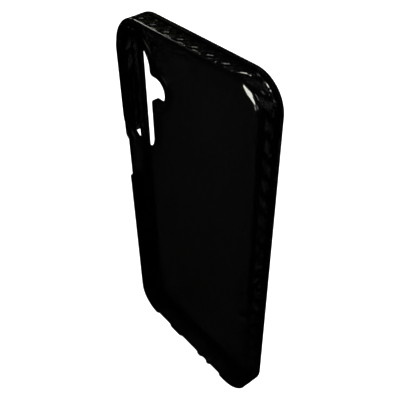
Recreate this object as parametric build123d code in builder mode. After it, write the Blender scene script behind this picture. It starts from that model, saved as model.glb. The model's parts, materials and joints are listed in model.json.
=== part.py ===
from build123d import *

import os

# A slim protective phone case in smoke-tinted plastic. The origin is the middle of the face that the
# phone's back lies on. +Z runs up the length of the case, the back faces -Y and the open front +Y.
# Depths are counted from the back rim towards the front, and heights from the case's bottom edge.

os.makedirs("parts", exist_ok=True)

# ---------------------------------------------------------------- driving dimensions, mm
CASE_LENGTH = 165.5
CASE_WIDTH = 81.0
CASE_DEPTH = 12.1  # back rim to front lip, without the camera bezel
CORNER_RADIUS = 13.7
WALL = 2.25  # outer face to the side of the phone
BACK_EDGE_RADIUS = 2.8
FRONT_EDGE_RADIUS = 1.8

PHONE_THICKNESS = 8.35  # seat to the underside of the front lip
PANEL_RECESS = 0.25  # the panel lies this far below the back rim
PANEL_FRONT = 1.8  # depth of the face that the phone lies on
RIM_WIDTH = 6.7  # visible width of the back rim round the panel
TONGUE_WIDTH = 2.0  # the panel's edge reaches this far under the rim
RIM_LIP = 0.9  # thickness of the rim over that tongue

FRAME_FRONT = 8.7  # depth where the frame ends and the front lip begins
LIP_OVERHANG = 3.0  # outer face to the inner edge of the front lip
LIP_CHAMFER_WIDTH = 0.6  # across the crest of the lip
LIP_CHAMFER_DEPTH = 0.9  # down its inner edge

GRIP_BACK = 1.1  # the textured band lies between these depths
GRIP_FRONT = 8.4
GRIP_THICKNESS = 0.9
SHADOW_LINE = 0.3  # depth of the fine line between band and lip

BEZEL_HEIGHT = 0.8  # the camera bezel stands this far behind the rim
BEZEL_SEAT = 0.5  # depth of the shallow rebate that its flange lies in
BEZEL_WIDTH = 3.7
BEZEL_BLEND = 3.0  # outer hollow between the slot and the flash bay
BEZEL_SLEEVE = 0.8
BEZEL_OUTER_ROUND = 0.7
BEZEL_INNER_ROUND = 0.45
CAMERA_WIDTH = 18.4
CAMERA_HEIGHT = 46.6
CAMERA_X = -25.3
CAMERA_Z = 136.0
CAMERA_CORNER = 8.7
FLASH_X = -12.4
FLASH_Z = 143.4
FLASH_RADIUS = 4.9
FLASH_BLEND = 1.8

NOTCH_DEPTH = 2.9  # outer face to the bottom of every cut-out in the wall
NOTCH_ROUND = 1.3  # rounding of the rim along a cut-out
SIDE_KEY = (86.7, 112.8)  # lower and upper end of the cut-out in the left wall, outside
SIDE_KEY_FLARE = 2.8  # how far each end leans outwards through the wall
SPEAKER_PORT = (-27.1, -14.7)  # left and right ends of each cut-out in the bottom
CHARGING_PORT = (-7.3, 7.3)
MICROPHONE_PORT = (9.2, 14.1)
HEADPHONE_PORT = (15.2, 23.9)
PORTS = (SPEAKER_PORT, CHARGING_PORT, MICROPHONE_PORT, HEADPHONE_PORT)
PORT_CORNER = 2.4  # rounding of each port's two front corners

TOP_MIC_X = -7.9
TOP_MIC_DEPTH = 6.9
TOP_MIC_RADIUS = 0.7

KEY_DEPTH = 6.7  # depth of the volume key covers' centre line
KEY_HEIGHTS = {"volume_up": 132.5, "volume_down": 120.0}
KEY_WINDOW_LENGTH = 10.6
KEY_WINDOW_WIDTH = 3.6
KEY_GAP = 0.2  # between a cap and its window
KEY_PROUD = 0.5
KEY_CAP_THICKNESS = 1.1
KEY_CAP_ROUND = 0.4
KEY_RIB_LENGTH = 8.4
KEY_RIB_WIDTH = 1.6
KEY_RIB_SHORT = 0.1  # the rib ends this far inside the wall's inner face
KEY_WEB_THICKNESS = 0.4
KEY_WEB_INSET = 0.35  # inner face of the web to the wall's inner face
KEY_WEB_GAP = 0.15  # between the web and the rib

# ---------------------------------------------------------------- worked out from those
BACK_Y = -PANEL_FRONT  # puts the origin on the face that the phone lies on
BOTTOM_Z = -CASE_LENGTH / 2
SEAT_RIM = RIM_WIDTH - TONGUE_WIDTH
LIP_SEAT = PANEL_FRONT + PHONE_THICKNESS
HALF_WIDTH = CASE_WIDTH / 2
NOTCH_X = -HALF_WIDTH + NOTCH_DEPTH
CLEAR = 5.0  # how far a cutter runs past the case
TOUCH = 0.01  # an edge this near to a plane lies on it


def layer(depth):
    """Plane at a depth, facing the back. Its coordinates are X and height."""
    return Plane(origin=(0, BACK_Y + depth, BOTTOM_Z), x_dir=(1, 0, 0), z_dir=(0, -1, 0))


def side(x):
    """Plane across the case at an X, facing right. Its coordinates are depth and height."""
    return Plane(origin=(x, BACK_Y, BOTTOM_Z), x_dir=(0, 1, 0), z_dir=(1, 0, 0))


def slab(inset, back, front, mode=Mode.ADD):
    """Rounded outline of the case, set in from its edge, between two depths."""
    with BuildSketch(layer(front)) as profile:
        with Locations((0, CASE_LENGTH / 2)):
            RectangleRounded(CASE_WIDTH - 2 * inset, CASE_LENGTH - 2 * inset, CORNER_RADIUS - inset)
    extrude(profile.sketch, amount=front - back, mode=mode)


def rounded_block(front):
    """The outside of the case from the back rim to a depth, with its rounded back edge."""
    slab(0, 0, front)
    fillet(faces().sort_by(Axis.Y)[0].edges(), BACK_EDGE_RADIUS)


def groove(floor_inset, back, front):
    """Cut a groove of one depth all the way round the outside."""
    with BuildSketch(layer(front)) as profile:
        with Locations((0, CASE_LENGTH / 2)):
            Rectangle(CASE_WIDTH + 2 * CLEAR, CASE_LENGTH + 2 * CLEAR)
            RectangleRounded(
                CASE_WIDTH - 2 * floor_inset,
                CASE_LENGTH - 2 * floor_inset,
                CORNER_RADIUS - floor_inset,
                mode=Mode.SUBTRACT,
            )
    extrude(profile.sketch, amount=front - back, mode=Mode.SUBTRACT)


def middle(span):
    """Half-way between the two ends of an opening."""
    return sum(span) / 2


def block(x_low, x_high, z_low, z_high, mode=Mode.SUBTRACT):
    """A square-cornered region of the frame's depth, cut away or kept."""
    with BuildSketch(layer(FRAME_FRONT)) as profile:
        with Locations((middle((x_low, x_high)), middle((z_low, z_high)))):
            Rectangle(x_high - x_low, z_high - z_low)
    extrude(profile.sketch, amount=FRAME_FRONT + CLEAR, mode=mode)


def bottom_port(port):
    """Cut-out in the bottom wall, open to the back, with two rounded front corners."""
    with BuildSketch(Plane.XY.offset(BOTTOM_Z + NOTCH_DEPTH)) as profile:
        with Locations((middle(port), BACK_Y + middle((-CLEAR, FRAME_FRONT)))):
            Rectangle(port[1] - port[0], FRAME_FRONT + CLEAR)
        fillet(vertices().group_by(Axis.Y)[-1], PORT_CORNER)
    extrude(profile.sketch, amount=-NOTCH_DEPTH - CLEAR, mode=Mode.SUBTRACT)


def side_key_notch():
    """Cut-out for the side key in the left wall, with ends that lean outwards."""
    bottom, top = SIDE_KEY
    lean = SIDE_KEY_FLARE * CLEAR / NOTCH_DEPTH
    with BuildSketch(layer(FRAME_FRONT)) as profile:
        with BuildLine() as edge:
            Polyline(
                (NOTCH_X, bottom + SIDE_KEY_FLARE),
                (NOTCH_X, top - SIDE_KEY_FLARE),
                (-HALF_WIDTH - CLEAR, top + lean),
                (-HALF_WIDTH - CLEAR, bottom - lean),
                close=True,
            )
        make_face(edge.edges())
    extrude(profile.sketch, amount=FRAME_FRONT + CLEAR, mode=Mode.SUBTRACT)


def key_windows():
    """Openings for the two volume key covers in the left wall."""
    with BuildSketch(side(-HALF_WIDTH - CLEAR)) as profile:
        for height in KEY_HEIGHTS.values():
            with Locations((KEY_DEPTH, height)):
                SlotOverall(KEY_WINDOW_LENGTH, KEY_WINDOW_WIDTH, rotation=90)
    extrude(profile.sketch, amount=CLEAR + WALL, mode=Mode.SUBTRACT)


def top_microphone():
    """Small round hole through the top wall."""
    with Locations((TOP_MIC_X, BACK_Y + TOP_MIC_DEPTH, BOTTOM_Z + CASE_LENGTH)):
        Hole(TOP_MIC_RADIUS, depth=WALL)


def camera_outline(margin, blend):
    """Camera opening with a margin: a tall rounded slot and a round bay for the flash beside it."""
    slot_edge = CAMERA_X + CAMERA_WIDTH / 2 + margin
    bay_radius = FLASH_RADIUS + margin
    with Locations((CAMERA_X, CAMERA_Z)):
        RectangleRounded(
            CAMERA_WIDTH + 2 * margin, CAMERA_HEIGHT + 2 * margin, CAMERA_CORNER + margin
        )
    if slot_edge < FLASH_X:
        with Locations(((CAMERA_X + FLASH_X) / 2, FLASH_Z)):
            Rectangle(FLASH_X - CAMERA_X, 2 * bay_radius)
    with Locations((FLASH_X, FLASH_Z)):
        Circle(bay_radius)
    upper_corner = vertices().sort_by_distance((slot_edge, FLASH_Z + bay_radius))[0]
    lower_corner = vertices().sort_by_distance((slot_edge, FLASH_Z - bay_radius))[0]
    fillet([upper_corner, lower_corner], blend)


def bezel_cut(back, front, mode=Mode.SUBTRACT):
    """Outer outline of the camera bezel between two depths."""
    with BuildSketch(layer(front)) as profile:
        camera_outline(BEZEL_WIDTH, BEZEL_BLEND)
    extrude(profile.sketch, amount=front - back, mode=mode)


def camera_cut(grow, back, front, mode=Mode.SUBTRACT):
    """The camera opening, grown by a constant distance, between two depths."""
    with BuildSketch(layer(front)) as profile:
        camera_outline(0, FLASH_BLEND)
        if grow:
            offset(amount=grow)
    extrude(profile.sketch, amount=front - back, mode=mode)


def finish(piece, name):
    """Name a finished piece and write it out."""
    piece.part.label = name
    export_step(piece.part, f"parts/{name}.step")


# ---------------------------------------------------------------- back panel
with BuildPart() as back_panel:
    slab(RIM_WIDTH, PANEL_RECESS, RIM_LIP)
    slab(SEAT_RIM, RIM_LIP, PANEL_FRONT)
    camera_cut(BEZEL_SLEEVE, -CLEAR, PANEL_FRONT)
    bezel_cut(-CLEAR, BEZEL_SEAT)
finish(back_panel, "back_panel")

# ---------------------------------------------------------------- camera bezel
with BuildPart() as camera_bezel:
    bezel_cut(-BEZEL_HEIGHT, BEZEL_SEAT, mode=Mode.ADD)
    crown = faces().sort_by(Axis.Y)[0]
    fillet(crown.edges(), BEZEL_OUTER_ROUND)
    camera_cut(BEZEL_SLEEVE, BEZEL_SEAT, PANEL_FRONT, mode=Mode.ADD)
    camera_cut(0, -CLEAR, PANEL_FRONT)
    crown = faces().sort_by(Axis.Y)[0]
    fillet(crown.inner_wires()[0].edges(), BEZEL_INNER_ROUND)
finish(camera_bezel, "camera_bezel")

# ---------------------------------------------------------------- bumper frame
with BuildPart() as bumper_frame:
    rounded_block(FRAME_FRONT)
    slab(WALL, PANEL_FRONT, FRAME_FRONT, mode=Mode.SUBTRACT)
    slab(SEAT_RIM, RIM_LIP, PANEL_FRONT, mode=Mode.SUBTRACT)
    slab(RIM_WIDTH, 0, RIM_LIP, mode=Mode.SUBTRACT)
    groove(GRIP_THICKNESS, GRIP_BACK, GRIP_FRONT)
    groove(SHADOW_LINE, GRIP_FRONT, FRAME_FRONT)
    side_key_notch()
    for port in PORTS:
        bottom_port(port)
    rim_edges = faces().sort_by(Axis.Y)[0].edges()
    side_notch_edge = rim_edges.filter_by_position(Axis.X, NOTCH_X - TOUCH, NOTCH_X + TOUCH)
    port_z = BOTTOM_Z + NOTCH_DEPTH
    port_edges = rim_edges.filter_by_position(Axis.Z, port_z - TOUCH, port_z + TOUCH)
    fillet(side_notch_edge + port_edges, NOTCH_ROUND)
    camera_cut(BEZEL_SLEEVE, -CLEAR, PANEL_FRONT)
    bezel_cut(-CLEAR, BEZEL_SEAT)
    key_windows()
    top_microphone()
finish(bumper_frame, "bumper_frame")

# ---------------------------------------------------------------- front lip
with BuildPart() as front_lip:
    slab(0, FRAME_FRONT, CASE_DEPTH)
    fillet(faces().sort_by(Axis.Y)[-1].edges(), FRONT_EDGE_RADIUS)
    slab(WALL, FRAME_FRONT, LIP_SEAT, mode=Mode.SUBTRACT)
    slab(LIP_OVERHANG, LIP_SEAT, CASE_DEPTH, mode=Mode.SUBTRACT)
    crest = faces().sort_by(Axis.Y)[-1]
    inner_edges = crest.inner_wires()[0].edges()
    chamfer(inner_edges, LIP_CHAMFER_WIDTH, LIP_CHAMFER_DEPTH, reference=crest)
finish(front_lip, "front_lip")


# ---------------------------------------------------------------- textured grip bands
def grip_ring():
    """The textured band all round, cut by the openings in the walls."""
    rounded_block(GRIP_FRONT)
    slab(GRIP_THICKNESS, 0, GRIP_FRONT, mode=Mode.SUBTRACT)
    groove(GRIP_THICKNESS, -CLEAR, GRIP_BACK)
    for port in PORTS:
        bottom_port(port)
    side_key_notch()


with BuildPart() as grip_band_main:
    grip_ring()
    block(-HALF_WIDTH - CLEAR, middle(HEADPHONE_PORT), -CLEAR, middle(SIDE_KEY))
    key_windows()
    top_microphone()
finish(grip_band_main, "grip_band_main")

with BuildPart() as grip_band_lower_left:
    grip_ring()
    block(-HALF_WIDTH - CLEAR, middle(SPEAKER_PORT), -CLEAR, middle(SIDE_KEY), mode=Mode.INTERSECT)
finish(grip_band_lower_left, "grip_band_lower_left")

GRIP_PADS = {
    "grip_pad_speaker_side": (SPEAKER_PORT, CHARGING_PORT),
    "grip_pad_microphone_side": (CHARGING_PORT, MICROPHONE_PORT),
    "grip_pad_headphone_side": (MICROPHONE_PORT, HEADPHONE_PORT),
}
for pad_name, (left_port, right_port) in GRIP_PADS.items():
    with BuildPart() as grip_pad:
        grip_ring()
        block(middle(left_port), middle(right_port), -CLEAR, NOTCH_DEPTH, mode=Mode.INTERSECT)
    finish(grip_pad, pad_name)

# ---------------------------------------------------------------- volume key covers and webs
CAP_OUTSIDE = -HALF_WIDTH - KEY_PROUD
CAP_INSIDE = CAP_OUTSIDE + KEY_CAP_THICKNESS
RIB_INSIDE = -HALF_WIDTH + WALL - KEY_RIB_SHORT
WEB_INSIDE = -HALF_WIDTH + WALL - KEY_WEB_INSET

for key_name, key_height in KEY_HEIGHTS.items():
    key_place = (KEY_DEPTH, key_height)
    with BuildPart() as key_cover:
        with BuildSketch(side(CAP_OUTSIDE)):
            with Locations(key_place):
                SlotOverall(
                    KEY_WINDOW_LENGTH - 2 * KEY_GAP, KEY_WINDOW_WIDTH - 2 * KEY_GAP, rotation=90
                )
        extrude(amount=KEY_CAP_THICKNESS)
        fillet(faces().sort_by(Axis.X)[0].edges(), KEY_CAP_ROUND)
        with BuildSketch(side(CAP_INSIDE)):
            with Locations(key_place):
                SlotOverall(KEY_RIB_LENGTH, KEY_RIB_WIDTH, rotation=90)
        extrude(amount=RIB_INSIDE - CAP_INSIDE)
    finish(key_cover, f"{key_name}_cover")

    with BuildPart() as key_web:
        with BuildSketch(side(WEB_INSIDE - KEY_WEB_THICKNESS)):
            with Locations(key_place):
                SlotOverall(KEY_WINDOW_LENGTH, KEY_WINDOW_WIDTH, rotation=90)
                SlotOverall(
                    KEY_RIB_LENGTH + 2 * KEY_WEB_GAP,
                    KEY_RIB_WIDTH + 2 * KEY_WEB_GAP,
                    rotation=90,
                    mode=Mode.SUBTRACT,
                )
        extrude(amount=KEY_WEB_THICKNESS)
    finish(key_web, f"{key_name}_web")
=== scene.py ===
"""Looks for a smoke-tinted phone case: braided grip relief, moulded plastic finishes and studio light.

The pieces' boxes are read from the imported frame, and finer sizes repeat the CAD's. Named values are in metres
unless they say otherwise.
"""

import json
from math import ceil, cos, hypot, pi, radians, sin, tan

import bmesh
import bpy
import numpy as np
from mathutils import Matrix, Vector

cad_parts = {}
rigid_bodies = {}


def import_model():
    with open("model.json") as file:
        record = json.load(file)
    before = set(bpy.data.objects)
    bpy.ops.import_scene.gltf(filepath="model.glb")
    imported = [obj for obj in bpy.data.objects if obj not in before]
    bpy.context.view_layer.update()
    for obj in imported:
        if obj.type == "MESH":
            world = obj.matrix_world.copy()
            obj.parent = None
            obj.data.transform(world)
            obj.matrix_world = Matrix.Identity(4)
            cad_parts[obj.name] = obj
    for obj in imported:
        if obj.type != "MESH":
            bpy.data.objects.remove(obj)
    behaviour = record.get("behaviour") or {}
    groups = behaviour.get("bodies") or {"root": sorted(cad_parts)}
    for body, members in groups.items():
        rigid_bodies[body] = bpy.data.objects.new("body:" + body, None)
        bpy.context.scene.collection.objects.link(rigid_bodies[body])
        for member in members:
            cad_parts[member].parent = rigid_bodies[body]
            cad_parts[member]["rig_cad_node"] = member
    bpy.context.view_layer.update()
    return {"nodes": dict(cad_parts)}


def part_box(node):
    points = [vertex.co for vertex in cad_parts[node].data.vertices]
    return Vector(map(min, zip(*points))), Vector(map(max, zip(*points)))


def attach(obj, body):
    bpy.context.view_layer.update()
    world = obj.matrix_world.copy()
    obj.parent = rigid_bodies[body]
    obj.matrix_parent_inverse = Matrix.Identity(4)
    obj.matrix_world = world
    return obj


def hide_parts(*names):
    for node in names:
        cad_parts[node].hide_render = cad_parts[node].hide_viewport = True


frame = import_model()

MM = 0.001

# ---------------------------------------------------------------- the case
LIP_LOW, LIP_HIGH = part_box("front_lip")
FRAME_LOW, FRAME_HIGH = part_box("bumper_frame")
PANEL_LOW, PANEL_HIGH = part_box("back_panel")
BAND_LOW, BAND_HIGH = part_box("grip_band_main")
HALF_WIDTH = LIP_HIGH.x
BOTTOM_Z = LIP_LOW.z  # heights below are counted from here, as in the CAD
CASE_LENGTH = LIP_HIGH.z - BOTTOM_Z
BACK_Y = FRAME_LOW.y  # and depths from here
PANEL_BACK = PANEL_LOW.y - BACK_Y
PANEL_FRONT = PANEL_HIGH.y - BACK_Y
BAND_BACK = BAND_LOW.y - BACK_Y
BAND_FRONT = BAND_HIGH.y - BACK_Y
FRAME_FRONT = FRAME_HIGH.y - BACK_Y
LIP_FRONT = LIP_HIGH.y - BACK_Y
# The values below repeat the CAD's.
CORNER_RADIUS = 13.7 * MM
WALL = 2.25 * MM
BACK_EDGE_RADIUS = 2.8 * MM
FRONT_EDGE_RADIUS = 1.8 * MM
BAND_CAD_THICKNESS = 0.9 * MM
SHADOW_LINE = 0.3 * MM
RIM_LIP = 0.9 * MM
BEZEL_SEAT = 0.5 * MM
LIP_SEAT = 10.15 * MM
LIP_OVERHANG = 3.0 * MM
LIP_CHAMFER_WIDTH = 0.6 * MM
LIP_CHAMFER_DEPTH = 0.9 * MM
PORT_CORNER = 2.4 * MM
NOTCH_DEPTH = 2.9 * MM
SIDE_KEY = (86.7 * MM, 112.8 * MM)  # heights of the side key opening's ends on the outer face
SIDE_KEY_FLARE = 2.8 * MM  # at the opening's bottom, each end lies this much closer to its middle
SIDE_KEY_SLOPE = SIDE_KEY_FLARE / NOTCH_DEPTH
# The bottom openings' sides, in x: speaker, charging, microphone and headphone.
PORTS = [(-27.1 * MM, -14.7 * MM), (-7.3 * MM, 7.3 * MM), (9.2 * MM, 14.1 * MM), (15.2 * MM, 23.9 * MM)]
TOP_MIC = (-7.9 * MM, 6.9 * MM, 0.7 * MM)  # x, depth and radius

# ---------------------------------------------------------------- the braided relief
CELLS_ROUND = 60
TIP_HEIGHT = 78.5 * MM  # a link's tip on the right wall lies at this height
GROOVE_DEPTH = 0.62 * MM
DEEPEST = 0.80 * MM  # the relief is never set in further than this, which leaves the band some thickness
SAMPLES_ALONG = 44  # to one link
SAMPLES_ACROSS = 38
PLAIN_RIM = (2.0 * MM, 2.6 * MM)  # the braid fades in between these depths
CLEAR_SLOPE = 0.34  # a relief this steep lets 37% of the light through
GROOVE_SHADE_HEIGHT = (0.2, 0.75)  # painted shade in the grooves: light starts to get through at the first height, and fully does at the second
CLEAR_DEPTH = (0.75 * BACK_EDGE_RADIUS, 1.1 * BACK_EDGE_RADIUS)  # light starts to get through at the first depth, and fully does at the second, past the rounded rim
END_EASE = 2 * MM  # a band's end leans over this length
# One link in mm: depth from the back rim, and distance down from its tip. It starts at the tip.
LINK_OUTLINE = [
    (2.15, 0.0), (3.7, 1.4), (4.75, 2.3), (5.6, 4.0), (6.4, 5.1), (7.7, 6.2), (8.25, 7.4),
    (8.4, 9.2), (8.2, 11.0), (7.35, 12.0), (6.8, 11.75), (5.45, 10.5), (4.85, 8.8), (3.7, 7.3),
    (3.0, 6.65), (2.3, 7.1), (1.75, 6.9), (1.25, 6.1), (1.25, 5.4), (2.15, 4.85),
]
# How a link's height changes, as shares of it, each between two distances in mm.
LINK_SIDE = (-0.1, 0.5)  # from outside its outline to inside, where its side ends
CROWN, CROWN_RISE = (0.3, 1.6), 0.14  # inwards from its outline
LEG, LEG_RISE = (0.0, 4.6), 0.38  # down from its tip
CREASE_DOWN, CREASE_DEPTH, CREASE_SLANT = 7.4, 7.0, 0.75  # a point on the crease, and how steeply it slants
DIP, DIP_FALL = (-0.2, 0.9), 0.22  # on from the crease
SWELL, SWELL_RISE = (1.2, 2.4), 0.14
TAIL, TAIL_FALL = (10.4, 12.1), 0.35  # down from its tip

# ---------------------------------------------------------------- round the volume keys
WINDOW_COLLAR = (0.55, 0.95)  # a plain collar fades out between these distances from a window, in mm
COLLAR_HEIGHT = 0.9  # as a share of a link's
WINDOW_GROOVE = (1.0, 1.5)  # and the braid fades in between these
WINDOW_ARC_STEPS = 24
CUTTER_REACH = 3 * MM
MICROPHONE_SIDES = 32

# ---------------------------------------------------------------- the front lip
LIP_ARC_STEPS = 12
LIP_CORNER_STEPS = 32
PAINTED_SHADE_WIDTH = 0.3 * MM  # painted shade: the lip's outer face is made dark this far beside the joint

# ---------------------------------------------------------------- finishes
BONDED_FACE, PAINTED_SHADE_FACE = 1, 2  # material indices: a joint that light crosses, and a face darkened by painted shade
SMOOTH_ANGLE = radians(35)
PLASTIC_IOR = 1.5
SMOKE_DARK = (0.00006, 0.00006, 0.00006, 1)
SMOKE_LIGHT = (0.00014, 0.00013, 0.00012, 1)
CLOUD_SCALE = 60.0  # to the metre
CLOUD_DETAIL = 4.0
WEAR = 0.2  # roughness varies by this share
GRAIN_DETAIL = 3.0
GRAIN_HEIGHT = 0.02 * MM
GRAZING_SHARE = 0.19  # of the light that passes a face square on, what passes it edge on
BARE_PASSES = 0.02  # what passes the bare top of a face that is bonded below it
ROUNDED_SHARE = 0.03  # and what passes where a piece's two sides aren't parallel
UPRIGHT_TURN = (0.05, 0.42)  # how far an upright face may turn towards the panel, as two cosines
FACE_LEVEL = 0.9  # a face whose normal has at least this much Y lies along the panel
FACE_UPRIGHT = 0.1  # and one with at most this much stands square to it

# ---------------------------------------------------------------- camera and light
CAMERA_PLACE = (0.1464, -0.1115, 0.16945)
CAMERA_AZIMUTH = radians(50.9)
CAMERA_ELEVATION = radians(40.1)
CAMERA_ROLL = radians(0.8)
CAMERA_LENS = 53.0  # in mm, with the sensor's width
SENSOR_WIDTH = 36.0
NEAREST_SEEN = 0.01
FLOOR_DROP = 0.35  # the case is held this far above the floor, so that it casts no shadow there
FLOOR_HALF_SIZE = 3.0
FLOOR_COLOUR = (0.85, 0.85, 0.85, 1)
FLOOR_ROUGHNESS = 0.9
FLOOR_GLOSS = 0.1
SKY = 2.2  # brightness of the surround
REFLECTED_SKY = 0.01  # its brightness as the plastic reflects it, well above the horizon
HORIZON = (-0.02, 0.1)  # upward share of a direction where that starts, and where it is full
LAMP_DISTANCE = 2.0
WARM_WHITE = (1.0, 1.0, 0.90)
OLIVE = (1.0, 0.92, 0.35)
LAMPS = [  # name, azimuth, elevation and width in degrees, brightness and colour
    ("corner_box", 20, 41, 38, 19.0, WARM_WHITE),
    ("right_strip", 60, 22, 8, 3.0, WARM_WHITE),
    ("low_spot", 33, 12, 8, 8.0, WARM_WHITE),
    ("back_edge_strip", -102, 39, 6, 9.0, WARM_WHITE),
    ("left_spot", -103, 23, 5, 8.0, WARM_WHITE),
    ("top_glow", -119, 20, 18, 0.018, OLIVE),
]


def add_object(name, bm):
    """A new object in the scene from a bmesh, which is used up."""
    mesh = bpy.data.meshes.new(name)
    bm.to_mesh(mesh)
    bm.free()
    made = bpy.data.objects.new(name, mesh)
    bpy.context.scene.collection.objects.link(made)
    return made


# ================================================================ the path round the case
CORNER_ARC = CORNER_RADIUS * pi / 2
SIDE_RUN = CASE_LENGTH - 2 * CORNER_RADIUS
END_RUN = 2 * (HALF_WIDTH - CORNER_RADIUS)
PERIMETER = 2 * SIDE_RUN + 2 * END_RUN + 4 * CORNER_ARC
CELL = PERIMETER / CELLS_ROUND
# Distances along the path are counted from the low end of the right wall: up the right wall, over the
# top to the left, down the left wall and along the bottom to the right.
TOP_START = SIDE_RUN + CORNER_ARC
LEFT_START = TOP_START + END_RUN + CORNER_ARC
BOTTOM_START = LEFT_START + SIDE_RUN + CORNER_ARC


def path_point(along, inset):
    """Point (x, z) on the case's outline, set in from it, at a distance along the path."""
    along = along % PERIMETER
    turn = 0
    cx, cz = HALF_WIDTH - CORNER_RADIUS, CORNER_RADIUS
    for run in (SIDE_RUN, END_RUN, SIDE_RUN, END_RUN):
        ahead = turn * pi / 2 + pi / 2
        if along < run:
            cx += cos(ahead) * along
            cz += sin(ahead) * along
            angle = turn * pi / 2
            break
        cx += cos(ahead) * run
        cz += sin(ahead) * run
        along -= run
        if along < CORNER_ARC:
            angle = turn * pi / 2 + along / CORNER_RADIUS
            break
        along -= CORNER_ARC
        turn += 1
    reach = CORNER_RADIUS - inset
    return cx + cos(angle) * reach, cz + sin(angle) * reach


# ================================================================ the braided relief
def smooth(value, low, high):
    """Smooth step from 0 at low to 1 at high."""
    t = np.clip((value - low) / (high - low), 0, 1)
    return t * t * (3 - 2 * t)


def inside_distance(y, d, outline):
    """Distance in mm from points to an outline, positive inside it."""
    corners = np.array(outline)
    ends = np.roll(corners, -1, axis=0)
    nearest = np.full(y.shape, np.inf)
    inside = np.zeros(y.shape, bool)
    for (ay, ad), (by, bd) in zip(corners, ends):
        ey, ed = by - ay, bd - ad
        t = np.clip(((y - ay) * ey + (d - ad) * ed) / (ey * ey + ed * ed), 0, 1)
        nearest = np.minimum(nearest, np.hypot(y - ay - t * ey, d - ad - t * ed))
        if ad != bd:
            crosses = (ad > d) != (bd > d)
            inside ^= crosses & (y < ay + (d - ad) / ed * ey)
    return np.where(inside, nearest, -nearest)


def link_height(y, down):
    """Height of one link, from 0 at the groove's floor to 1, at points in mm."""
    edge = inside_distance(y, down, LINK_OUTLINE)
    body = smooth(edge, *LINK_SIDE)
    crown = 1 - CROWN_RISE + CROWN_RISE * smooth(edge, *CROWN)
    leg = 1 - LEG_RISE + LEG_RISE * smooth(down, *LEG)
    # The lower lobe dips behind the crease, swells, and falls away to its tip.
    beyond = (down - CREASE_DOWN) + (y - CREASE_DEPTH) * CREASE_SLANT
    lobe = 1 - DIP_FALL * smooth(beyond, *DIP) + SWELL_RISE * smooth(beyond, *SWELL)
    tail = 1 - TAIL_FALL * smooth(down, *TAIL)
    return body * crown * leg * lobe * tail


def relief(along, depth):
    """Height of the braid, from 0 to 1, at a distance along the path and a depth from the back rim."""
    period = CELL / MM
    tip = (TIP_HEIGHT - CORNER_RADIUS) / MM
    down = np.mod(tip - along / MM, period)
    y = depth / MM
    height = np.zeros(y.shape)
    for turn in range(-1, 3):  # links reach past their own stretch of the path
        height = np.maximum(height, link_height(y, down + turn * period))
    return height


def back_edge_inset(depth):
    """How far the rounded back edge lies inside the case's outline at a depth."""
    left = np.clip(BACK_EDGE_RADIUS - depth, 0, None)
    return BACK_EDGE_RADIUS - np.sqrt(BACK_EDGE_RADIUS**2 - left**2)


def port_flare(depth):
    """How far the end of a band leans into a bottom opening at a depth: the opening's corner is round."""
    over = np.clip(depth - (FRAME_FRONT - PORT_CORNER), 0, None)
    return PORT_CORNER - np.sqrt(PORT_CORNER**2 - over**2)


def stadium_distance(along, depth, window):
    """Distance from points to a key window's edge, positive outside it."""
    place, middle, length, width = window
    reach = np.clip(np.abs(along - place) - (length - width) / 2, 0, None)
    return np.hypot(reach, depth - middle) - width / 2


def left_wall(z):
    """Distance along the path of a height on the left wall."""
    return LEFT_START + (CASE_LENGTH - CORNER_RADIUS - z)


def bottom_wall(x):
    """Distance along the path of a place on the bottom wall."""
    return BOTTOM_START + (x + HALF_WIDTH - CORNER_RADIUS)


def key_window(name):
    """A volume key's window: distance along the path, depth, length and width."""
    low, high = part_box(name + "_web")
    return left_wall((low.z + high.z) / 2), (low.y + high.y) / 2 - BACK_Y, high.z - low.z, high.y - low.y


KEY_WINDOWS = [key_window("volume_up"), key_window("volume_down")]


def band_height(along, depth):
    """Height of the relief, from 0 to 1, with its plain rim and the collars round the key windows."""
    height = np.maximum(relief(along, depth), 1 - smooth(depth, *PLAIN_RIM))
    for window in KEY_WINDOWS:
        gap = stadium_distance(along, depth, window) / MM
        height = height * smooth(gap, *WINDOW_GROOVE)
        height = np.maximum(height, COLLAR_HEIGHT * (1 - smooth(gap, *WINDOW_COLLAR)))
    return height


def clear_share_and_groove_shade(height, inset, depth, step_along, step_across):
    """Where the relief lets light through: on its tops, where it is nearly level. Low in the grooves it lets
    none through, which paints shade into them.
    """
    slope = np.hypot(np.gradient(inset, step_along, axis=0), np.gradient(inset, step_across, axis=1))
    flat = np.exp(-((slope / CLEAR_SLOPE) ** 2))
    # The height term is painted shade: it darkens the level groove floors.
    return flat * smooth(height, *GROOVE_SHADE_HEIGHT) * smooth(depth, *CLEAR_DEPTH)


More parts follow.
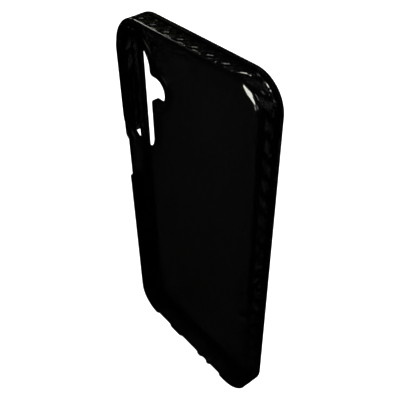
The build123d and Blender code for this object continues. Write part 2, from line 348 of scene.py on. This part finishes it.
def grip_piece(node, start, stop, start_lean, stop_lean):
    """A closed strip of braid between two distances along the path, in place of its CAD node.

    The leans move its ends: each is a function of inset and depth that gives a distance along the path.
    """
    columns = max(2, ceil((stop - start) / CELL * SAMPLES_ALONG))
    depths = np.linspace(BAND_BACK, BAND_FRONT, SAMPLES_ACROSS + 1)
    alongs = np.linspace(start, stop, columns + 1)
    along, depth = np.meshgrid(alongs, depths, indexing="ij")
    ease = min(END_EASE, (stop - start) / 2)
    pull_start = np.clip(1 - (along - start) / ease, 0, 1)
    pull_stop = np.clip(1 - (stop - along) / ease, 0, 1)

    def leaned(inset):
        return along + pull_start * start_lean(inset, depth) + pull_stop * stop_lean(inset, depth)

    height = band_height(leaned(0 * depth), depth)
    inset = np.minimum(back_edge_inset(depth) + GROOVE_DEPTH * (1 - height), DEEPEST)
    inset[:, 0] = back_edge_inset(depth[:, 0])
    inset[:, -1] = SHADOW_LINE
    outer = leaned(inset)
    inner = leaned(np.full_like(depth, BAND_CAD_THICKNESS))
    # clear holds where light gets through, with painted shade low in the grooves.
    clear = clear_share_and_groove_shade(height, inset, depth, alongs[1] - alongs[0], depths[1] - depths[0])

    bm = bmesh.new()
    clear_and_groove_shade_layer = bm.verts.layers.float.new("clear")

    def vertex(distance, set_in, back, share=0.0):
        x, z = path_point(distance, set_in)
        made = bm.verts.new((x, BACK_Y + back, BOTTOM_Z + z))
        made[clear_and_groove_shade_layer] = share
        return made

    skin = [
        [vertex(outer[i, j], inset[i, j], depth[i, j], clear[i, j]) for j in range(SAMPLES_ACROSS + 1)]
        for i in range(columns + 1)
    ]
    base = [
        [vertex(inner[i, j], BAND_CAD_THICKNESS, depth[i, j]) for j in (0, SAMPLES_ACROSS)]
        for i in range(columns + 1)
    ]
    hidden = []
    for i in range(columns):
        for j in range(SAMPLES_ACROSS):
            bm.faces.new((skin[i][j], skin[i][j + 1], skin[i + 1][j + 1], skin[i + 1][j]))
        hidden.append(bm.faces.new((base[i][0], base[i + 1][0], base[i + 1][1], base[i][1])))
        hidden.append(bm.faces.new((skin[i][0], skin[i + 1][0], base[i + 1][0], base[i][0])))
        hidden.append(bm.faces.new((skin[i][-1], base[i][1], base[i + 1][1], skin[i + 1][-1])))
    bm.faces.new([base[0][0], base[0][1], *reversed(skin[0])])
    bm.faces.new([*skin[-1], base[-1][1], base[-1][0]])
    for face in hidden:
        face.material_index = BONDED_FACE
    bmesh.ops.recalc_face_normals(bm, faces=bm.faces[:])
    return add_object(node + "_braid", bm)


# ================================================================ the front lip
def lip_profile():
    """The front lip's section as (inset, depth) points, round from its outer back corner."""
    points = [(0.0, FRAME_FRONT), (0.0, FRAME_FRONT + PAINTED_SHADE_WIDTH)]
    for k in range(LIP_ARC_STEPS + 1):
        turn = pi / 2 * k / LIP_ARC_STEPS
        points.append((
            FRONT_EDGE_RADIUS * (1 - cos(turn)),
            LIP_FRONT - FRONT_EDGE_RADIUS * (1 - sin(turn)),
        ))
    points += [
        (LIP_OVERHANG - LIP_CHAMFER_WIDTH, LIP_FRONT),
        (LIP_OVERHANG, LIP_FRONT - LIP_CHAMFER_DEPTH),
        (LIP_OVERHANG, LIP_SEAT),
        (WALL, LIP_SEAT),
        (WALL, FRAME_FRONT),
        (SHADOW_LINE, FRAME_FRONT),
    ]
    return points


def lip_stations():
    """Where the lip's sections stand: distance along the path, and how far each leans per metre of inset."""
    stations = []
    turn_start = SIDE_RUN
    for run in (END_RUN, SIDE_RUN, END_RUN, SIDE_RUN):
        for k in range(LIP_CORNER_STEPS + 1):
            stations.append((turn_start + CORNER_ARC * k / LIP_CORNER_STEPS, 0.0))
        turn_start += CORNER_ARC + run
    stations += [(bottom_wall(x), 0.0) for port in PORTS for x in port]
    low, high = SIDE_KEY
    stations += [(left_wall(low), -SIDE_KEY_SLOPE), (left_wall(high), SIDE_KEY_SLOPE)]
    return sorted(stations)


def beside_opening(along):
    """Whether the wall is cut away at a distance along the path."""
    if left_wall(SIDE_KEY[1]) < along < left_wall(SIDE_KEY[0]):
        return True
    return any(bottom_wall(left) < along < bottom_wall(right) for left, right in PORTS)


def make_lip():
    """The smooth front lip swept round the case, in place of its CAD node."""
    profile = lip_profile()
    stations = lip_stations()
    bm = bmesh.new()
    rings = []
    for along, lean in stations:
        ring = []
        for inset, depth in profile:
            x, z = path_point(along + lean * inset, inset)
            ring.append(bm.verts.new((x, BACK_Y + depth, BOTTOM_Z + z)))
        rings.append(ring)
    joint = len(profile) - 2  # the strip that lies on the frame
    for i, ring in enumerate(rings):
        following = rings[(i + 1) % len(rings)]
        start = stations[i][0]
        stop = stations[(i + 1) % len(rings)][0] + (PERIMETER if i == len(rings) - 1 else 0)
        for j in range(len(profile)):
            k = (j + 1) % len(profile)
            face = bm.faces.new((ring[j], following[j], following[k], ring[k]))
            if j == joint and not beside_opening((start + stop) / 2):
                face.material_index = BONDED_FACE
            # The strips either side of the joint get the painted shade.
            if j in (0, len(profile) - 1):
                face.material_index = PAINTED_SHADE_FACE
    bmesh.ops.recalc_face_normals(bm, faces=bm.faces[:])
    lip = add_object("front_lip_smooth", bm)
    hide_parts("front_lip")
    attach(lip, "case_shell")
    return lip


# ================================================================ materials
def math_node(nodes, links, operation, first, second=None):
    """A math node on sockets or plain numbers. Returns its output."""
    node = nodes.new("ShaderNodeMath")
    node.operation = operation
    for socket, value in zip(node.inputs, (first, second)):
        if value is None:
            continue
        if isinstance(value, (int, float)):
            socket.default_value = value
        else:
            links.new(value, socket)
    return node.outputs[0]


def map_range(nodes, links, value, low, high, to_low, to_high):
    """A clamped linear map of a socket. Returns its output."""
    node = nodes.new("ShaderNodeMapRange")
    node.inputs["From Min"].default_value = low
    node.inputs["From Max"].default_value = high
    node.inputs["To Min"].default_value = to_low
    node.inputs["To Max"].default_value = to_high
    links.new(value, node.inputs["Value"])
    return node.outputs["Result"]


def parallel_share(nodes, links, place, edge, walls):
    """1 where a face lies along the panel, walls where it is square to it, and 0 on a rounded edge between.

    Light goes straight through only where a piece's two sides are parallel. edge says how far a face may turn
    away from the panel, as two cosines: it passes nothing below the first and everything above the second.
    """
    axes = nodes.new("ShaderNodeSeparateXYZ")
    links.new(place.outputs["Normal"], axes.inputs["Vector"])
    across = math_node(nodes, links, "ABSOLUTE", axes.outputs["Y"])
    wall = map_range(nodes, links, across, *UPRIGHT_TURN, walls, 0)
    panel = map_range(nodes, links, across, *edge, 0, 1)
    return math_node(nodes, links, "ADD", wall, panel)


def smoke_tint(nodes, links, place, shader):
    """Give a shader the smoke tint's cloudy dark colour. Returns the cloud's socket, from 0 to 1."""
    cloud = nodes.new("ShaderNodeTexNoise")
    cloud.inputs["Scale"].default_value = CLOUD_SCALE
    cloud.inputs["Detail"].default_value = CLOUD_DETAIL
    links.new(place.outputs["Object"], cloud.inputs["Vector"])
    tint = nodes.new("ShaderNodeValToRGB")
    tint.color_ramp.elements[0].color = SMOKE_DARK
    tint.color_ramp.elements[1].color = SMOKE_LIGHT
    links.new(cloud.outputs["Fac"], tint.inputs["Fac"])
    links.new(tint.outputs["Color"], shader.inputs["Base Color"])
    return cloud.outputs["Fac"]


def smoke_plastic(name, passes, roughness, grain, grain_size, clear=None, gloss=0.5, edge=(0.7, 0.95),
                  walls=1.0):
    """Dense smoke-tinted plastic. passes is the share of light that gets through one face seen square on.

    grain is the strength of the fine bumps, and grain_size their length.
    gloss is the strength of its reflections, with 0.5 for a bare surface.
    clear names the mesh attribute that says where a relief lets that light through, with painted shade in its
    grooves.
    Without it, edge and walls say where, as in parallel_share.
    """
    material = bpy.data.materials.new(name)
    material.use_nodes = True
    nodes, links = material.node_tree.nodes, material.node_tree.links
    shader = nodes["Principled BSDF"]
    shader.inputs["IOR"].default_value = PLASTIC_IOR
    shader.inputs["Specular IOR Level"].default_value = gloss

    place = nodes.new("ShaderNodeTexCoord")
    cloud = smoke_tint(nodes, links, place, shader)
    wear = map_range(nodes, links, cloud, 0, 1, roughness * (1 - WEAR), roughness * (1 + WEAR))
    links.new(wear, shader.inputs["Roughness"])

    fine = nodes.new("ShaderNodeTexNoise")
    fine.inputs["Scale"].default_value = 1 / grain_size
    fine.inputs["Detail"].default_value = GRAIN_DETAIL
    links.new(place.outputs["Object"], fine.inputs["Vector"])
    bump = nodes.new("ShaderNodeBump")
    bump.inputs["Strength"].default_value = grain
    bump.inputs["Distance"].default_value = GRAIN_HEIGHT
    links.new(fine.outputs["Fac"], bump.inputs["Height"])
    links.new(bump.outputs["Normal"], shader.inputs["Normal"])

    turned = nodes.new("ShaderNodeLayerWeight")
    slant = map_range(nodes, links, turned.outputs["Facing"], 0, 1, passes, passes * GRAZING_SHARE)
    if clear:
        mask = nodes.new("ShaderNodeAttribute")
        mask.attribute_name = clear
        share = mask.outputs["Fac"]
    else:
        share = parallel_share(nodes, links, place, edge, walls)
    kept = map_range(nodes, links, share, 0, 1, ROUNDED_SHARE, 1)
    through = math_node(nodes, links, "MULTIPLY", slant, kept)
    links.new(math_node(nodes, links, "SUBTRACT", 1.0, through), shader.inputs["Alpha"])
    return material


def joint_or_shade_finish(name, passes, bare_depth=0.0):
    """A material without reflections for faces between two pieces, and for faces painted dark as shade.

    Down to bare_depth from the back rim a face has no neighbour, and passes as little as the rest of the rim.
    """
    material = bpy.data.materials.new(name)
    material.use_nodes = True
    nodes, links = material.node_tree.nodes, material.node_tree.links
    shader = nodes["Principled BSDF"]
    shader.inputs["Alpha"].default_value = 1 - passes
    shader.inputs["Specular IOR Level"].default_value = 0
    place = nodes.new("ShaderNodeTexCoord")
    smoke_tint(nodes, links, place, shader)
    if bare_depth:
        axes = nodes.new("ShaderNodeSeparateXYZ")
        links.new(place.outputs["Object"], axes.inputs["Vector"])
        bare = math_node(nodes, links, "LESS_THAN", axes.outputs["Y"], BACK_Y + bare_depth)
        links.new(map_range(nodes, links, bare, 0, 1, 1 - passes, 1 - BARE_PASSES), shader.inputs["Alpha"])
    return material


PANEL = smoke_plastic("smoke_panel", passes=0.059, roughness=0.05, grain=0.02, grain_size=2.5 * MM)
BEZEL = smoke_plastic("smoke_bezel", passes=0.0573, roughness=0.06, grain=0.02, grain_size=2.5 * MM,
                      gloss=0.02, edge=(0.97, 0.9995), walls=0.1)
BUMPER = smoke_plastic("smoke_bumper", passes=0.052, roughness=0.09, grain=0.05, grain_size=1.2 * MM)
LIP = smoke_plastic("smoke_lip", passes=0.05, roughness=0.09, grain=0.05, grain_size=1.2 * MM)
# The grip's clear attribute paints shade into the braid's grooves.
GRIP = smoke_plastic("smoke_grip", passes=0.09, roughness=0.12, grain=0.04, grain_size=0.8 * MM,
                     clear="clear")
KEY = smoke_plastic("smoke_key", passes=0.05, roughness=0.16, grain=0.1, grain_size=0.6 * MM)
BONDED = joint_or_shade_finish("bonded_joint", passes=1.0, bare_depth=PANEL_BACK)
# Painted shade: faces that pass almost no light and reflect none, along the shadow-line groove, the lip beside
# it and the notch walls.
PAINTED_SHADE = joint_or_shade_finish("painted_shade_faces", passes=0.002)


def dress(piece, material):
    """Give a piece its finishes, and a piece made here smooth shading across shallow edges."""
    if piece.get("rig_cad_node"):
        piece.data.materials.clear()
    if not piece.data.materials:
        for finish in (material, BONDED, PAINTED_SHADE):  # in the order of the material indices: bonded joints, then painted shade
            piece.data.materials.append(finish)
    piece.data.polygons.foreach_set("use_smooth", [True] * len(piece.data.polygons))
    if not piece.get("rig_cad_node"):
        piece.data.set_sharp_from_angle(angle=SMOOTH_ANGLE)


# ================================================================ joints between bonded pieces
# Each test below says whether a face lies against a neighbour, or gets painted shade. It is told whether the
# face is level (along the panel) or upright, and the spans of its corners' depths and insets.
NEAR = 0.02 * MM
NOTCH_REACH = 1 * MM  # a notch's dark faces lie up to this far further inwards than its bottom


def wall_inset(x, z):
    """Distance inwards from the case's outline to a point."""
    beyond_x = abs(x) - (HALF_WIDTH - CORNER_RADIUS)
    beyond_z = abs(z - BOTTOM_Z - CASE_LENGTH / 2) - (CASE_LENGTH / 2 - CORNER_RADIUS)
    reach = hypot(max(beyond_x, 0), max(beyond_z, 0)) + min(max(beyond_x, beyond_z), 0)
    return CORNER_RADIUS - reach


class Span:
    """The lowest and highest of some values."""

    def __init__(self, values):
        self.low, self.high = min(values), max(values)

    def at(self, place):
        """Whether all of them are at one place."""
        return abs(self.low - place) < NEAR and abs(self.high - place) < NEAR

    def within(self, low, high):
        """Whether all of them lie between two places."""
        return self.low > low - NEAR and self.high < high + NEAR


def panel_bonded(level, upright, depths, insets):
    return upright or level and (depths.at(RIM_LIP) or depths.at(BEZEL_SEAT))


def bezel_bonded(level, upright, depths, insets):
    return level and depths.at(BEZEL_SEAT) or upright and depths.low > BEZEL_SEAT - NEAR


def bumper_bonded(level, upright, depths, insets):
    if level:
        return any(depths.at(place) for place in (BEZEL_SEAT, RIM_LIP, BAND_BACK, BAND_FRONT, FRAME_FRONT))
    groove = depths.within(BAND_BACK, BAND_FRONT) and insets.at(BAND_CAD_THICKNESS)
    inner_edge = insets.low > WALL and depths.within(0, PANEL_FRONT)
    return upright and (groove or inner_edge and not insets.at(NOTCH_DEPTH))


# Painted shade on the shadow-line groove's floor and the notch walls.
def bumper_painted_shade(level, upright, depths, insets):
    groove = upright and depths.within(BAND_FRONT, FRAME_FRONT) and insets.at(SHADOW_LINE)
    notch = insets.within(NOTCH_DEPTH, NOTCH_DEPTH + NOTCH_REACH) and depths.within(0, PANEL_FRONT)
    return groove or notch and not level


def sort_faces(piece, bonded, shade_test=None):
    """Give the faces that lie against a neighbour, and those that get painted shade, their own material."""
    corners = [vertex.co for vertex in piece.data.vertices]
    for face in piece.data.polygons:
        places = [corners[i] for i in face.vertices]
        sides = (
            abs(face.normal.y) > FACE_LEVEL,
            abs(face.normal.y) < FACE_UPRIGHT,
            Span([place.y - BACK_Y for place in places]),
            Span([wall_inset(place.x, place.z) for place in places]),
        )
        if bonded(*sides):
            face.material_index = BONDED_FACE
        elif shade_test and shade_test(*sides):
            face.material_index = PAINTED_SHADE_FACE


# ================================================================ grip pieces
def port_start(inset, depth):
    """How a band's start leans where a bottom opening's corner is round."""
    return -port_flare(depth)


def port_stop(inset, depth):
    """The same for its end."""
    return port_flare(depth)


def key_start(inset, depth):
    """How a band's start follows the slope of the side key opening."""
    return -SIDE_KEY_SLOPE * inset


def key_stop(inset, depth):
    """The same for its end."""
    return SIDE_KEY_SLOPE * inset


def make_grips():
    """The five pieces of braided band, each in place of its CAD node."""
    speaker, charging, microphone, headphone = PORTS
    low, high = SIDE_KEY
    pads = {
        "grip_pad_speaker_side": (speaker[1], charging[0]),
        "grip_pad_microphone_side": (charging[1], microphone[0]),
        "grip_pad_headphone_side": (microphone[1], headphone[0]),
    }
    main_start = bottom_wall(headphone[1]) - PERIMETER
    made = [
        grip_piece("grip_band_main", main_start, left_wall(high), port_start, key_stop),
        grip_piece("grip_band_lower_left", left_wall(low), bottom_wall(speaker[0]), key_start, port_stop),
    ]
    for node, (low_x, high_x) in pads.items():
        made.append(grip_piece(node, bottom_wall(low_x), bottom_wall(high_x), port_start, port_stop))
    for piece in made:
        node = piece.name.removesuffix("_braid")
        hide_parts(node)
        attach(piece, "case_shell")
        dress(piece, GRIP)
    return made


def window_cutter(name):
    """A bar through the left wall, with a volume key window's section."""
    low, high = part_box(name + "_web")
    width, length = high.y - low.y, high.z - low.z
    middle_y, middle_z = (low.y + high.y) / 2, (low.z + high.z) / 2
    outline = []
    for end, start in ((1, 0), (-1, pi)):
        for k in range(WINDOW_ARC_STEPS + 1):
            angle = pi * k / WINDOW_ARC_STEPS + start
            outline.append((
                middle_y + width / 2 * cos(angle),
                middle_z + end * (length - width) / 2 + width / 2 * sin(angle),
            ))
    bm = bmesh.new()
    near = [bm.verts.new((-HALF_WIDTH - CUTTER_REACH, y, z)) for y, z in outline]
    far = [bm.verts.new((-HALF_WIDTH + CUTTER_REACH, y, z)) for y, z in outline]
    bm.faces.new(near)
    bm.faces.new(list(reversed(far)))
    for k in range(len(outline)):
        following = (k + 1) % len(outline)
        bm.faces.new((near[k], near[following], far[following], far[k]))
    bmesh.ops.recalc_face_normals(bm, faces=bm.faces[:])
    return add_object(name + "_cutter", bm)


def microphone_cutter():
    """A pin through the top wall, where its small round hole is."""
    x, depth, radius = TOP_MIC
    bm = bmesh.new()
    bmesh.ops.create_cone(
        bm, cap_ends=True, segments=MICROPHONE_SIDES, radius1=radius, radius2=radius, depth=2 * CUTTER_REACH,
        matrix=Matrix.Translation((x, BACK_Y + depth, BOTTOM_Z + CASE_LENGTH)),
    )
    return add_object("microphone_cutter", bm)


def cut_away(band, cutters):
    """Take the cutters' shapes out of a band, and the cutters out of the scene."""
    for cutter in cutters:
        cut = band.modifiers.new(cutter.name, "BOOLEAN")
        cut.operation = "DIFFERENCE"
        cut.solver = "EXACT"
        cut.object = cutter
    bpy.context.view_layer.update()
    result = bpy.data.meshes.new_from_object(band.evaluated_get(bpy.context.evaluated_depsgraph_get()))
    band.modifiers.clear()
    band.data = result
    for cutter in cutters:
        bpy.data.objects.remove(cutter)


main_band = make_grips()[0]
cut_away(main_band, [window_cutter("volume_up"), window_cutter("volume_down"), microphone_cutter()])
dress(main_band, GRIP)  # again, because the cuts gave it a new mesh

# ================================================================ the other pieces' finishes
for node, material in {
    "back_panel": PANEL,
    "camera_bezel": BEZEL,
    "bumper_frame": BUMPER,
    "volume_up_cover": KEY,
    "volume_down_cover": KEY,
    "volume_up_web": KEY,
    "volume_down_web": KEY,
}.items():
    dress(frame["nodes"][node], material)
sort_faces(frame["nodes"]["back_panel"], panel_bonded)
sort_faces(frame["nodes"]["camera_bezel"], bezel_bonded)
sort_faces(frame["nodes"]["bumper_frame"], bumper_bonded, bumper_painted_shade)
dress(make_lip(), LIP)


# ================================================================ floor, light and camera
def make_floor():
    """A wide pale floor under the case."""
    bm = bmesh.new()
    sides = ((-1, -1), (1, -1), (1, 1), (-1, 1))
    bm.faces.new([bm.verts.new((x * FLOOR_HALF_SIZE, y * FLOOR_HALF_SIZE, 0)) for x, y in sides])
    floor = add_object("floor", bm)
    floor.location.z = BOTTOM_Z - FLOOR_DROP
    material = bpy.data.materials.new("pale_floor")
    material.use_nodes = True
    shader = material.node_tree.nodes["Principled BSDF"]
    shader.inputs["Base Color"].default_value = FLOOR_COLOUR
    shader.inputs["Roughness"].default_value = FLOOR_ROUGHNESS
    shader.inputs["Specular IOR Level"].default_value = FLOOR_GLOSS
    floor.data.materials.append(material)
    floor.visible_glossy = False


def make_world():
    """Even light on the floor, and a near-dark surround for the plastic to reflect."""
    world = bpy.data.worlds.new("studio")
    bpy.context.scene.world = world
    world.use_nodes = True
    world.cycles.sampling_method = "NONE"  # sampled lights would ignore the glossy rays' own surround
    nodes, links = world.node_tree.nodes, world.node_tree.links
    bright = nodes["Background"]
    bright.inputs["Color"].default_value = (1, 1, 1, 1)
    bright.inputs["Strength"].default_value = SKY
    dim = nodes.new("ShaderNodeBackground")
    dim.inputs["Color"].default_value = (1, 1, 1, 1)
    place = nodes.new("ShaderNodeTexCoord")
    axes = nodes.new("ShaderNodeSeparateXYZ")
    links.new(place.outputs["Generated"], axes.inputs["Vector"])
    glow = map_range(nodes, links, axes.outputs["Z"], *HORIZON, 0, REFLECTED_SKY)
    links.new(glow, dim.inputs["Strength"])
    rays = nodes.new("ShaderNodeLightPath")
    mix = nodes.new("ShaderNodeMixShader")
    links.new(rays.outputs["Is Glossy Ray"], mix.inputs[0])
    links.new(bright.outputs[0], mix.inputs[1])
    links.new(dim.outputs[0], mix.inputs[2])
    links.new(mix.outputs[0], nodes["World Output"].inputs["Surface"])


def make_lamp(name, azimuth, elevation, across, radiance, colour):
    """A square soft box, with its direction from the case and its width given in degrees.

    Azimuth 0 is behind the case's back, at -Y, and 90 is at +X.
    """
    turn, lift = radians(azimuth), radians(elevation)
    way = Vector((sin(turn) * cos(lift), -cos(turn) * cos(lift), sin(lift)))
    size = 2 * LAMP_DISTANCE * tan(radians(across) / 2)
    data = bpy.data.lights.new(name, "AREA")
    data.size = size
    data.color = colour
    data.energy = radiance * pi * size**2
    lamp = bpy.data.objects.new(name, data)
    bpy.context.scene.collection.objects.link(lamp)
    lamp.location = way * LAMP_DISTANCE
    lamp.rotation_euler = (-way).to_track_quat("-Z", "Y").to_euler()
    lamp.visible_diffuse = False
    lamp.visible_camera = False


def make_camera():
    """The camera, behind the case and above it on its right."""
    data = bpy.data.cameras.new("camera")
    data.lens = CAMERA_LENS
    data.sensor_width = SENSOR_WIDTH
    data.clip_start = NEAREST_SEEN
    camera = bpy.data.objects.new("camera", data)
    bpy.context.scene.collection.objects.link(camera)
    camera.location = CAMERA_PLACE
    turn = (
        Matrix.Rotation(CAMERA_AZIMUTH, 3, "Z")
        @ Matrix.Rotation(pi / 2 - CAMERA_ELEVATION, 3, "X")
        @ Matrix.Rotation(-CAMERA_ROLL, 3, "Z")
    )
    camera.rotation_euler = turn.to_euler()
    bpy.context.scene.camera = camera


make_floor()
make_world()
for lamp in LAMPS:
    make_lamp(*lamp)
make_camera()
bpy.context.scene.view_settings.view_transform = "Standard"
